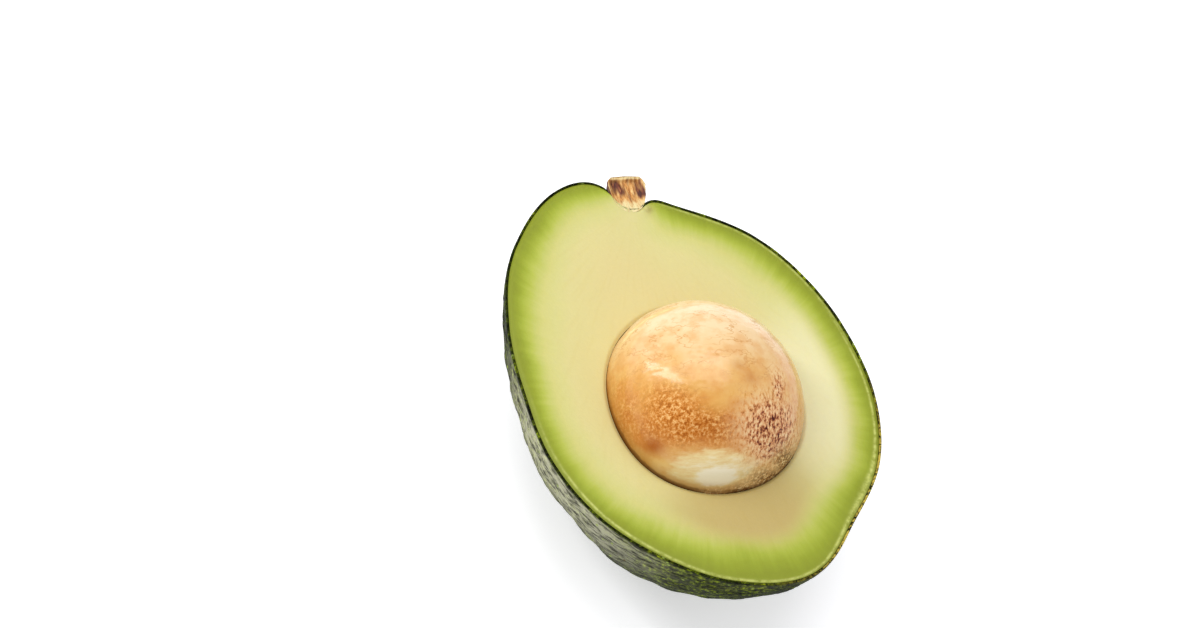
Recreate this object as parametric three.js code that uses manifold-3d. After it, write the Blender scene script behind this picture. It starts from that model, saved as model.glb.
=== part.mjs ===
import * as THREE from 'three';
import { mergeVertices } from 'three/addons/utils/BufferGeometryUtils.js';
import Module from 'manifold-3d';

// Half an avocado with its seed and its half of the stem, lying on its back with the cut face level.
// Millimetres and degrees. The origin is on the resting plane straight below the seed's centre,
// +X runs across the fruit, +Y along it towards the stem, +Z up.

// Cut face: from the seed's centre to the skin, every 22.5 degrees from +X towards +Y
const FACE_RADII = [36, 38, 41.5, 45, 53.5, 49, 42, 37.5, 37, 37.5, 38.5, 41, 42.5, 38, 37, 36];

// Height of the cut face. The belly is about 1 mm deeper, and where it would pass the resting plane
// it is pressed flat, as a ripe fruit is where it has lain.
const FACE_HEIGHT = 34.2;

// Belly: its depth against the half-width of the face, and the share it loses per mm towards the stem
const DEPTH_RATIO = 0.965;
const DEPTH_LEAN = 0.002;

// Dimple where the stem grows in, a bell-shaped pit round one direction from the seed
const DIMPLE_TURN = 79;
const DIMPLE_DEPTH = 4.9;
const DIMPLE_WIDTH = 4.4;

// Shallow hollow in one flank, a wider bell-shaped pit
const HOLLOW_TURN = 195;
const HOLLOW_DIP = 30;
const HOLLOW_DEPTH = 1.2;
const HOLLOW_WIDTH = 16;

// Pebbled skin: low bumps a few millimetres apart, which fade out towards the cut
const PEBBLE_HEIGHT = 0.45;
const PEBBLE_SPACING = 6.5;
const PEBBLE_FADE = 4;

// Seed: half-axes, how far its centre sits below the cut, its low swelling on one side, its wrinkles
const SEED_HALF_AXES = [19.7, 20.9, 19];
const SEED_SUNK = 2.5;
const SWELL_TURN = 208;
const SWELL_RISE = 11;
const SWELL_HEIGHT = 1.35;
const SWELL_WIDTH = 34;
const WRINKLE_HEIGHT = 0.2;
const WRINKLE_SPACING = 9;

// Stem stub: its foot on the cut face, the direction it points in, its profile as radius and height,
// and the flutes of its bark
const STEM_FOOT = [8.4, 44.1];
const STEM_DIRECTION = 72;
const STEM_PROFILE = [
  [0, 0], [1.6, 0.1], [2.7, 1.3], [3.4, 2.6], [4, 4.1], [4.2, 5.4], [3.9, 6.6], [3.2, 7.3], [0, 7.5],
];
const STEM_SIDES = 32;
const FLUTE_COUNT = 9;
const FLUTE_DEPTH = 0.15;

// Clearance between two pieces that touch
const GAP = 0.3;

// Fineness of the surfaces. The fruit's columns crowd together round the stem, and the last ring of
// the skin lies inside the flat that it rests on.
const FRUIT_COLUMNS = 96;
const FRUIT_CROWDING = 0.35;
const SKIN_RINGS = 29;
const SKIN_LAST_DIP = 81;
const FACE_RINGS = 3;
const CAVITY_RINGS = 8;
const SEED_COLUMNS = 44;
const SEED_RINGS = 22;

const { degToRad, lerp, smoothstep } = THREE.MathUtils;
const wasm = await Module();
wasm.setup();

// The six axes through opposite corners of an icosahedron: waves along them never form a lattice
const GOLDEN = (1 + Math.sqrt(5)) / 2;
const WAVE_AXES = [1, -1].flatMap((sign) => [[0, sign, GOLDEN], [sign, GOLDEN, 0], [GOLDEN, 0, sign]])
  .map((axis) => new THREE.Vector3(...axis).normalize());

// Pattern of low bumps, from 0 in the hollows to 1 on the tops
function bumps(point, spacing) {
  const wave = (2 * Math.PI) / spacing;
  const sum = WAVE_AXES.reduce((total, axis) => total + Math.cos(wave * axis.dot(point)), 0);
  return smoothstep(sum / WAVE_AXES.length, -0.4, 0.6);
}

// Unit vector at a turn round +Z from +X and a rise above the level, both in radians
function direction(turn, rise) {
  return new THREE.Vector3(Math.cos(turn) * Math.cos(rise), Math.sin(turn) * Math.cos(rise), Math.sin(rise));
}

// 1 in the middle of a bell round a direction, falling off with the angle to it
function bell(ray, middle, widthDegrees) {
  return Math.exp(-((ray.angleTo(middle) / degToRad(widthDegrees)) ** 2));
}

// Outline of the cut face without its dimple: a smooth closed curve through the radii
function faceRadius(turn) {
  const count = FACE_RADII.length;
  const place = (turn / (2 * Math.PI)) * count;
  const index = Math.floor(place);
  const u = place - index;
  const [a, b, c, d] = [-1, 0, 1, 2].map((step) => FACE_RADII[(index + step + 2 * count) % count]);
  return b + 0.5 * u * (c - a + u * (2 * a - 5 * b + 4 * c - d + u * (3 * (b - c) + d - a)));
}

// Skin, about the middle of the cut face, at a turn and a dip below the cut. Each side of the outline
// is turned round the long axis, and the two blend into each other underneath.
function skinPoint(turn, dip) {
  const ray = direction(turn, -dip);
  const fromStem = Math.acos(ray.y);
  const rightShare = (1 + Math.cos(Math.atan2(ray.z, ray.x))) / 2;
  const right = faceRadius(Math.PI / 2 - fromStem);
  const left = faceRadius(Math.PI / 2 + fromStem);
  const dimple = DIMPLE_DEPTH * bell(ray, direction(degToRad(DIMPLE_TURN), 0), DIMPLE_WIDTH);
  const flank = direction(degToRad(HOLLOW_TURN), degToRad(-HOLLOW_DIP));
  const hollow = HOLLOW_DEPTH * bell(ray, flank, HOLLOW_WIDTH);
  const point = ray.clone().multiplyScalar(lerp(left, right, rightShare) - dimple - hollow);
  point.z *= DEPTH_RATIO - DEPTH_LEAN * point.y;
  const sunk = PEBBLE_HEIGHT * (1 - bumps(point, PEBBLE_SPACING));
  point.addScaledVector(ray, -sunk * smoothstep(-point.z, 0, PEBBLE_FADE));
  point.z = Math.max(point.z, -FACE_HEIGHT);
  return point;
}

// Seed without its wrinkles, about the middle of the cut face, grown outwards by a distance
function seedPoint(turn, rise, grow) {
  const ray = direction(turn, rise);
  const swell = bell(ray, direction(degToRad(SWELL_TURN), degToRad(SWELL_RISE)), SWELL_WIDTH);
  const halfAxes = new THREE.Vector3(...SEED_HALF_AXES).addScalar(grow + SWELL_HEIGHT * swell);
  const point = ray.multiply(halfAxes);
  point.z -= SEED_SUNK;
  return point;
}

// Closed surface over rings of points that all have one count, between two single points. The rings
// go round +Z anticlockwise, and come in order down the outside or up an inside.
function closedSurface(first, rings, last) {
  const count = rings[0].length;
  const points = [first, ...rings.flat(), last];
  const at = (ring, column) => 1 + ring * count + (column % count);
  const faces = [];
  for (let column = 0; column < count; column++) {
    faces.push(0, at(0, column), at(0, column + 1));
    for (let ring = 0; ring + 1 < rings.length; ring++) {
      const [a, b] = [at(ring, column), at(ring, column + 1)];
      const [c, d] = [at(ring + 1, column), at(ring + 1, column + 1)];
      faces.push(a, c, d, a, d, b);
    }
    faces.push(points.length - 1, at(rings.length - 1, column + 1), at(rings.length - 1, column));
  }
  const geometry = new THREE.BufferGeometry().setFromPoints(points);
  geometry.setIndex(faces);
  return geometry;
}

// Closed geometry to solid, and back
function solidFrom(geometry) {
  const bare = geometry.clone();
  bare.deleteAttribute('normal');
  bare.deleteAttribute('uv');
  const merged = mergeVertices(bare, 1e-4);
  const vertProperties = new Float32Array(merged.attributes.position.array);
  const triVerts = new Uint32Array(merged.index.array);
  return new wasm.Manifold(new wasm.Mesh({ numProp: 3, vertProperties, triVerts }));
}

function geometryFrom(solid) {
  const { vertProperties, triVerts } = solid.getMesh();
  const geometry = new THREE.BufferGeometry();
  geometry.setAttribute('position', new THREE.BufferAttribute(vertProperties, 3));
  geometry.setIndex(new THREE.BufferAttribute(triVerts, 1));
  geometry.computeVertexNormals();
  return geometry;
}

// Whole stub about its foot, pointing along +Y, grown outwards by a distance
function stemGeometry(grow) {
  const profile = STEM_PROFILE.map(([radius, height], index) => {
    const inward = index === 0 || index === STEM_PROFILE.length - 1;
    return new THREE.Vector2(inward ? 0 : radius + grow, height - (index < 2 ? grow : 0));
  });
  const geometry = new THREE.LatheGeometry(profile, STEM_SIDES);
  const position = geometry.attributes.position;
  for (let index = 0; index < position.count; index++) {
    const angle = Math.atan2(position.getZ(index), position.getX(index));
    const radius = Math.hypot(position.getX(index), position.getZ(index));
    const fluted = Math.max(0, radius + FLUTE_DEPTH * (Math.cos(FLUTE_COUNT * angle) - 1));
    position.setX(index, fluted * Math.cos(angle));
    position.setZ(index, fluted * Math.sin(angle));
  }
  return geometry;
}

// Where the stub stands on the cut face
function placeStem(object) {
  object.position.set(...STEM_FOOT, 0);
  object.rotation.z = degToRad(STEM_DIRECTION - 90);
  object.updateMatrix();
  return object;
}

// Evenly spaced numbers from one value to another, both ends included
function steps(from, to, count) {
  return Array.from({ length: count }, (_, index) => lerp(from, to, index / (count - 1)));
}

// Columns of the fruit, closer together towards the stem
function fruitTurns() {
  const stem = degToRad(DIMPLE_TURN);
  return steps(0, 2 * Math.PI, FRUIT_COLUMNS + 1).slice(0, -1)
    .map((turn) => turn + stem - FRUIT_CROWDING * Math.sin(turn));
}

// Skin and flesh in one piece: up the seed's cavity, across the cut face and down the skin
function fruitHalf() {
  const turns = fruitTurns();
  const grow = GAP + WRINKLE_HEIGHT;
  const mouthRise = Math.asin(SEED_SUNK / (SEED_HALF_AXES[2] + grow));
  const cavity = steps(-Math.PI / 2, mouthRise, CAVITY_RINGS + 1).slice(1)
    .map((rise) => turns.map((turn) => seedPoint(turn, rise, grow)));
  const skin = steps(0, degToRad(SKIN_LAST_DIP), SKIN_RINGS)
    .map((dip) => turns.map((turn) => skinPoint(turn, dip)));
  const mouth = cavity.at(-1);
  mouth.forEach((point) => point.setZ(0));
  const face = steps(0, 1, FACE_RINGS + 2).slice(1, -1)
    .map((share) => mouth.map((point, column) => point.clone().lerp(skin[0][column], share)));
  const first = seedPoint(0, -Math.PI / 2, grow);
  const last = skinPoint(0, Math.PI / 2);
  const body = closedSurface(first, [...cavity, ...face, ...skin], last);
  const socket = placeStem(new THREE.Object3D());
  const cutter = stemGeometry(GAP).applyMatrix4(socket.matrix);
  return geometryFrom(solidFrom(body).subtract(solidFrom(cutter)));
}

// Seed with low wrinkles, which stay inside its clearance
function seedBody() {
  const turns = steps(0, 2 * Math.PI, SEED_COLUMNS + 1).slice(0, -1);
  const wrinkled = (turn, rise) => {
    const point = seedPoint(turn, rise, 0);
    return point.addScaledVector(direction(turn, rise), WRINKLE_HEIGHT * bumps(point, WRINKLE_SPACING));
  };
  const rings = steps(Math.PI / 2, -Math.PI / 2, SEED_RINGS + 1).slice(1, -1)
    .map((rise) => turns.map((turn) => wrinkled(turn, rise)));
  return closedSurface(wrinkled(0, Math.PI / 2), rings, wrinkled(0, -Math.PI / 2));
}

// Half of the stub, cut in the plane of the face
function stemStub() {
  const side = 40;
  const above = new THREE.BoxGeometry(side, side, side).translate(0, 0, side / 2);
  return geometryFrom(solidFrom(stemGeometry(0)).subtract(solidFrom(above)));
}

function material(color, roughness) {
  return new THREE.MeshStandardMaterial({ color, roughness, metalness: 0 });
}

function named(name, geometry, surface) {
  const mesh = new THREE.Mesh(geometry, surface);
  mesh.name = name;
  return mesh;
}

const fruit = new THREE.Group();
fruit.position.z = FACE_HEIGHT;
fruit.add(named('avocado_half', fruitHalf(), material('#c3cf6a', 0.5)));
fruit.add(named('seed', seedBody(), material('#c98a4b', 0.45)));
fruit.add(placeStem(named('stem_stub', stemStub(), material('#7a4526', 0.8))));

const model = new THREE.Group();
model.add(fruit);
export default model;
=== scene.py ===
"""Half an avocado with its seed and stem stub, cut face up, on a white studio floor."""

import math

import bpy
import numpy as np
from mathutils import Matrix, Vector


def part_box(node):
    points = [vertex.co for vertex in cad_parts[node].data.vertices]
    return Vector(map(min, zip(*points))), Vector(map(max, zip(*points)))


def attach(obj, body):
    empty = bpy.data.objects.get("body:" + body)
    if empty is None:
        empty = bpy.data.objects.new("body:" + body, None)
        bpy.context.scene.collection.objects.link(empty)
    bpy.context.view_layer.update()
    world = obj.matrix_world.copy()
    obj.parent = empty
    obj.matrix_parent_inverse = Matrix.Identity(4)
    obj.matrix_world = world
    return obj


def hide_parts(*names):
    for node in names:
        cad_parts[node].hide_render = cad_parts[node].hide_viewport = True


bl_info = {
    "name": "Halved Avocado",
    "version": (1, 0, 0),
    "blender": (4, 5, 0),
    "location": "3D View > Sidebar > Avocado",
    "description": "Builds the flesh, skin, seed and stem stub of half an avocado, with its stage",
    "category": "Add Mesh",
}

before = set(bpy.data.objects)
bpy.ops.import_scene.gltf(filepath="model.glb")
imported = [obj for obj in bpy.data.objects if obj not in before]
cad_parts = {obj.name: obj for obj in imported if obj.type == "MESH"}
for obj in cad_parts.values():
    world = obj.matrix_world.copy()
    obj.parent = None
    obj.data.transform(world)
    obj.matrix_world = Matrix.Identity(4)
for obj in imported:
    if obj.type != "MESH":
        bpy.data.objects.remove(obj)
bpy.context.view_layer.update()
BODY = "root"
TURN = 2 * math.pi

# The fruit's own dimensions, in millimetres and degrees, as its solids have them. The face's radii stand
# at even turns from +X, and the stem's profile gives its radius and height above its foot. Points are
# worked out about the middle of the cut face, +Y towards the stem, and placed in metres at the end.
MM = 0.001
FACE_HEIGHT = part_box("avocado_half")[1].z / MM
FACE_RADII = np.array([36, 38, 41.5, 45, 53.5, 49, 42, 37.5, 37, 37.5, 38.5, 41, 42.5, 38, 37, 36])
DEPTH_RATIO = 0.965
DEPTH_LEAN = 0.002
DIMPLE_TURN = 79
DIMPLE_DEPTH = 4.9
DIMPLE_WIDTH = 4.4
HOLLOW_TURN = 195
HOLLOW_DIP = 30
HOLLOW_DEPTH = 1.2
HOLLOW_WIDTH = 16
PEBBLE_HEIGHT = 0.45
PEBBLE_SPACING = 6.5
PEBBLE_FADE = 4
SEED_HALF_AXES = np.array([19.7, 20.9, 19])
SEED_SUNK = 2.5
SWELL_TURN = 208
SWELL_RISE = 11
SWELL_HEIGHT = 1.35
SWELL_WIDTH = 34
WRINKLE_HEIGHT = 0.2
STEM_FOOT = np.array([8.4, 44.1])
STEM_DIRECTION = 72
STEM_PROFILE = np.array([
    [0, 0], [1.6, 0.1], [2.7, 1.3], [3.4, 2.6], [4, 4.1], [4.2, 5.4], [3.9, 6.6], [3.2, 7.3], [0, 7.5],
])
SEED_GAP = 0.3

# Where the walls under the fruit end: the dip of their last ring, and how far the skin's inner wall and
# the flesh stay above the flat that the fruit rests on
LAST_DIP = math.radians(86)
SKIN_BASE = 0.6
FLESH_BASE = 0.9

# Depth below the skin past which all flesh has one colour
HEART_DEPTH = 20

# How the photograph was taken: where the camera stands about the fruit, how it is rolled, how far
# off it is, and where the seed's centre lies in the picture
PICTURE_SIZE = (1200, 628)
CAMERA_AZIMUTH = -56.4
CAMERA_ELEVATION = 55
CAMERA_ROLL = 30
CAMERA_DISTANCE = 0.8
CAMERA_FOCAL_PIXELS = 4061
SEED_PIXEL = (706, 397.5)
SENSOR_WIDTH = 36

# Sockets of a colour Mix node: the share of the upper colour, the two colours, and the result
SHARE, UNDER, OVER, MIXED = 0, 6, 7, 2
BLACK = (0, 0, 0)
WHITE = (1, 1, 1)


def linear(code):
    """Colour from an sRGB hex code, as linear red, green and blue."""
    parts = np.array([int(code[place:place + 2], 16) for place in (1, 3, 5)]) / 255
    return tuple(np.where(parts <= 0.04045, parts / 12.92, ((parts + 0.055) / 1.055) ** 2.4))


def colour_property(name, description, code):
    """Colour setting with an sRGB hex code as its default."""
    return bpy.props.FloatVectorProperty(
        name=name, description=description, subtype="COLOR", size=3, min=0, max=1, default=linear(code)
    )


def length_property(name, description, millimetres):
    """Length setting, given in millimetres and kept in metres."""
    return bpy.props.FloatProperty(
        name=name, description=description, subtype="DISTANCE", unit="LENGTH", min=0,
        precision=5, default=millimetres * MM,
    )


# Shapes shared by the pieces

def direction(turn, rise):
    """Unit vectors at a turn round +Z from +X and a rise above the level, in radians."""
    turn, rise = np.broadcast_arrays(turn, rise)
    return np.stack([np.cos(turn) * np.cos(rise), np.sin(turn) * np.cos(rise), np.sin(rise)], -1)


def smoothstep(value, low, high):
    """0 below low, 1 above high, and an S-shaped curve between."""
    share = np.clip((value - low) / (high - low), 0, 1)
    return share * share * (3 - 2 * share)


def heading_of(points):
    """Heading of each point round +Z from +X, in radians."""
    return np.arctan2(points[..., 1], points[..., 0])


def falloff(distance, width, sharpness=2):
    """1 at no distance, and a bell-shaped fall to 0 past a width. Sharpness flattens the bell's top."""
    return np.exp(-((distance / width) ** sharpness))


def near(heading, degrees, width, sharpness=2):
    """1 where a heading in radians meets one in degrees, falling off past a width on either side."""
    return falloff((np.degrees(heading) - degrees + 180) % 360 - 180, width, sharpness)


def bell(ray, middle, width):
    """1 where the ray meets a middle direction, falling off with the angle, past a width in degrees."""
    return falloff(np.arccos(np.clip(ray @ middle, -1, 1)), math.radians(width))


def ripple(points, spacing, seed, count=24, stretch=(1, 1, 1)):
    """Smooth random field of about -1 to 1: a sum of plane waves near one length, each with a random
    direction, length and phase."""
    random = np.random.default_rng(seed)
    axes = random.normal(size=(count, 3))
    axes /= np.linalg.norm(axes, axis=1)[:, None]
    lengths = spacing * random.uniform(0.75, 1.35, count)
    phases = random.uniform(0, TURN, count)
    waves = (points * np.array(stretch)) @ (axes * (TURN / lengths)[:, None]).T + phases
    return np.cos(waves).sum(-1) / math.sqrt(count) / 1.5


def bumps(points, spacing):
    """Low bumps, 0 in the hollows and 1 on the tops: waves along the six axes of an icosahedron."""
    golden = (1 + math.sqrt(5)) / 2
    axes = np.array([
        axis for sign in (1, -1)
        for axis in ((0, sign, golden), (sign, golden, 0), (golden, 0, sign))
    ]) / math.hypot(1, golden)
    return smoothstep(np.cos(TURN / spacing * points @ axes.T).mean(-1), -0.4, 0.6)


def face_radius(turn):
    """Outline of the cut face without its dimple: the smooth closed curve through its radii."""
    count = len(FACE_RADII)
    place = turn / TURN * count
    index = np.floor(place).astype(int)
    u = place - index
    a, b, c, d = (FACE_RADII[(index + step) % count] for step in (-1, 0, 1, 2))
    return b + 0.5 * u * (c - a + u * (2 * a - 5 * b + 4 * c - d + u * (3 * (b - c) + d - a)))


def outline_point(heading):
    """Point of the face's outline in each heading, without its dimple."""
    return np.stack([np.cos(heading), np.sin(heading)], -1) * face_radius(heading)[..., None]


def skin_points(turn, dip):
    """Skin at a turn and a dip below the cut, without pebbles: each side of the face's outline is
    turned round the long axis, the two blend underneath, and bell-shaped pits are taken off for the
    stem's dimple and a hollow in one flank."""
    ray = direction(turn, -dip)
    from_stem = np.arccos(np.clip(ray[..., 1], -1, 1))
    right_share = (1 + np.cos(np.arctan2(ray[..., 2], ray[..., 0]))) / 2
    right = face_radius(math.pi / 2 - from_stem)
    left = face_radius(math.pi / 2 + from_stem)
    stem = direction(math.radians(DIMPLE_TURN), 0)
    flank = direction(math.radians(HOLLOW_TURN), math.radians(-HOLLOW_DIP))
    radius = left + (right - left) * right_share
    radius = radius - DIMPLE_DEPTH * bell(ray, stem, DIMPLE_WIDTH)
    radius = radius - HOLLOW_DEPTH * bell(ray, flank, HOLLOW_WIDTH)
    points = ray * radius[..., None]
    points[..., 2] *= DEPTH_RATIO - DEPTH_LEAN * points[..., 1]
    return points


def seed_points(turn, rise, grow):
    """Seed at a turn and a rise, without wrinkles: an ellipsoid with a low bell-shaped swelling, grown
    outwards by a distance and sunk below the cut."""
    ray = direction(turn, rise)
    swell = bell(ray, direction(math.radians(SWELL_TURN), math.radians(SWELL_RISE)), SWELL_WIDTH)
    points = ray * (SEED_HALF_AXES + grow + SWELL_HEIGHT * swell[..., None])
    points[..., 2] -= SEED_SUNK
    return points


def from_mouth(rings):
    """Distance outwards from the seed's edge on the cut face."""
    heading = heading_of(rings)
    edge = seed_points(heading, np.full_like(heading, math.asin(SEED_SUNK / SEED_HALF_AXES[2])), 0)
    return np.linalg.norm(rings[..., :2], axis=-1) - np.linalg.norm(edge[..., :2], axis=-1)


def along_fruit(points):
    """Coordinates in which a pattern runs along the fruit from stem to blossom end: a place on a circle
    round the long axis, and the distance along that axis at a quarter of its length."""
    radius, stretch = 35, 4
    around = np.arctan2(points[..., 2], points[..., 0])
    return np.stack([radius * np.cos(around), points[..., 1] / stretch, radius * np.sin(around)], -1)


def pebble_depth(points):
    """How far the skin lies below the tops of its pebbles: broad bumps, with short ridges between them
    that run along the fruit and are strongest towards the stem, all fading out towards the cut."""
    below = -points[..., 2]
    broad = 0.7 * PEBBLE_HEIGHT * (1 - bumps(points, PEBBLE_SPACING))
    waves = ripple(along_fruit(points) * np.array([1, 1.8, 1]), 2.4, seed=21, count=40)
    ridge_height = 0.12 + 0.14 * smoothstep(points[..., 1], -35, 35)
    ridges = ridge_height * (1 - smoothstep(np.abs(waves), 0, 0.5))
    return broad * smoothstep(below, 0, PEBBLE_FADE) + ridges * smoothstep(below, 0.1, 1.5)


def camera_axes():
    """The camera's right, up and back directions at the seed, from its azimuth, elevation and roll."""
    azimuth = math.radians(CAMERA_AZIMUTH)
    elevation = math.radians(CAMERA_ELEVATION)
    roll = math.radians(CAMERA_ROLL)
    back = np.array([
        math.sin(azimuth) * math.cos(elevation), -math.cos(azimuth) * math.cos(elevation), math.sin(elevation)
    ])
    level = np.array([math.cos(azimuth), math.sin(azimuth), 0])
    upright = np.cross(back, level)
    right = math.cos(roll) * level + math.sin(roll) * upright
    up = math.cos(roll) * upright - math.sin(roll) * level
    return right, up, back


def fruit_turns(columns):
    """Columns of the fruit's surfaces, closer together towards the stem."""
    turn = np.arange(columns) * TURN / columns
    crowding = 0.35
    return turn + math.radians(DIMPLE_TURN) - crowding * np.sin(turn)


def stem_axes():
    """Directions across and along the stub on the cut face."""
    angle = math.radians(STEM_DIRECTION)
    along = np.array([math.cos(angle), math.sin(angle), 0])
    return np.array([along[1], -along[0], 0]), along


def clear_of_stem(points, clearance):
    """Pushes points that lie within a clearance of the stub out to the nearest side of it, or below
    its foot where that is nearer, so that the flesh has a socket."""
    _, along = stem_axes()
    local = points - np.append(STEM_FOOT, 0)
    height = local @ along
    outward = local - height[..., None] * along
    radius = np.linalg.norm(outward, axis=-1)
    wall = np.interp(height, STEM_PROFILE[:-1, 1], STEM_PROFILE[:-1, 0]) + clearance
    wall = np.where(height < STEM_PROFILE[0, 1], STEM_PROFILE[1, 0] + clearance, wall)
    top = STEM_PROFILE[-1, 1] + clearance
    inside = (radius < wall) & (height > -clearance) & (height < top)
    drop = height + clearance
    sideways = inside & (wall - radius < drop)
    down = inside & ~sideways
    unit = outward / np.maximum(radius, 1e-9)[..., None]
    points = np.where(sideways[..., None], points + unit * (wall - radius)[..., None], points)
    return np.where(down[..., None], points - along * drop[..., None], points)


def surface_object(name, first, rings, last, attributes):
    """Closed mesh over rings of points, given as (rings, columns, 3) in millimetres, between two single
    points. Quads run from ring to ring and a fan closes each end. An attribute is one number or one
    vector per ring point, and an end takes the mean of the ring beside it."""
    ring_count, columns, _ = rings.shape
    points = np.concatenate([first[None], rings.reshape(-1, 3), last[None]])
    points = (points + np.array([0, 0, FACE_HEIGHT])) * MM
    column = np.arange(columns)
    beside = (column + 1) % columns
    start = 1 + np.arange(ring_count - 1)[:, None] * columns
    quads = np.stack([start + column, start + columns + column, start + columns + beside, start + beside], -1)
    end = len(points) - 1
    tail = end - columns
    fans = np.concatenate([
        np.stack([np.zeros_like(column), 1 + column, 1 + beside], -1),
        np.stack([np.full_like(column, end), tail + beside, tail + column], -1),
    ])
    mesh = bpy.data.meshes.new(name)
    mesh.from_pydata(points, [], quads.reshape(-1, 4).tolist() + fans.tolist())
    mesh.shade_smooth()
    for key, values in attributes.items():
        values = values.reshape(ring_count, columns, -1)
        ends = values[[0, -1]].mean(1)
        whole = np.concatenate([ends[:1], *values, ends[1:]]).astype(np.float32)
        if whole.shape[1] == 3:
            mesh.attributes.new(key, "FLOAT_VECTOR", "POINT").data.foreach_set("vector", whole.ravel())
        else:
            mesh.attributes.new(key, "FLOAT", "POINT").data.foreach_set("value", whole.ravel())
    piece = bpy.data.objects.new(name, mesh)
    bpy.context.scene.collection.objects.link(piece)
    return piece


def finish_piece(piece, material, node):
    """Gives a piece its material, ties it to the body, and hides the solid it stands for."""
    piece.data.materials.append(material)
    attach(piece, BODY)
    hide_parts(node)


# Materials

def add_node(tree, kind, inputs=None, stops=None, **settings):
    """Adds a node, sets its settings, links or fills its inputs, and places a ramp's colour stops."""
    node = tree.nodes.new(kind)
    for key, value in settings.items():
        setattr(node, key, value)
    for key, value in (inputs or {}).items():
        socket = node.inputs[key]
        if isinstance(value, bpy.types.NodeSocket):
            tree.links.new(value, socket)
        else:
            socket.default_value = value
    if stops:
        elements = node.color_ramp.elements
        while len(elements) < len(stops):
            elements.new(1)
        for element, (place, colour) in zip(elements, stops):
            element.position = place
            element.color = (*colour, 1)
    return node


def per_metre(millimetres):
    """Texture scale whose features are about this size."""
    return 1 / (millimetres * MM)


def new_material(name):
    """Empty node material and its tree."""
    material = bpy.data.materials.new(name)
    material.use_nodes = True
    tree = material.node_tree
    tree.nodes.clear()
    return material, tree


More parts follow.
